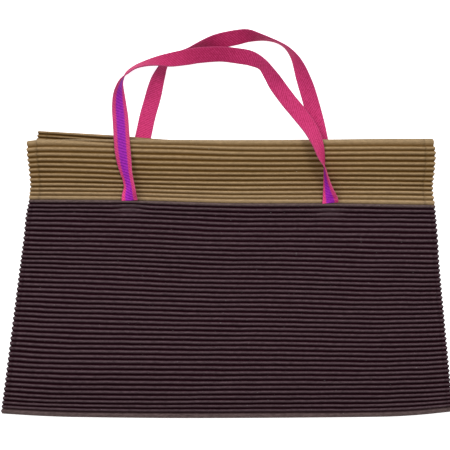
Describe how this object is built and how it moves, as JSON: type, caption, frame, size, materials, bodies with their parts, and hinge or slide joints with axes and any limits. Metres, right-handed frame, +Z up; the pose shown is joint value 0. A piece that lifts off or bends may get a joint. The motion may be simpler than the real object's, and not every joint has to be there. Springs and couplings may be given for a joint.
{
  "type": "pleated tote bag",
  "caption": "Flat soft tote bag of horizontally pleated cloth, dark body under a khaki mouth band, with loose striped webbing handles, lying on its back.",
  "frame": {"origin": "on the table under the middle of the bag as it lies with its handles laid out", "axes": "+X to the right as seen from above, +Y from the bag's bottom edge towards its mouth and handles, +Z up from the table through the front"},
  "size_m": [0.43, 0.37, 0.0328],
  "materials": {
    "pleated_dark": "matt dark aubergine-brown pleated polyester, soft sheen on the crests",
    "pleated_khaki": "matt khaki pleated polyester, soft sheen on the crests",
    "webbing": "woven pink webbing with a purple stripe along one face"
  },
  "bodies": {
    "root": {"front_panel": "pleated_dark", "back_panel": "pleated_dark", "front_band": "pleated_khaki", "back_band": "pleated_khaki", "front_strap": "webbing", "back_strap": "webbing"}
  },
  "joints": []
}
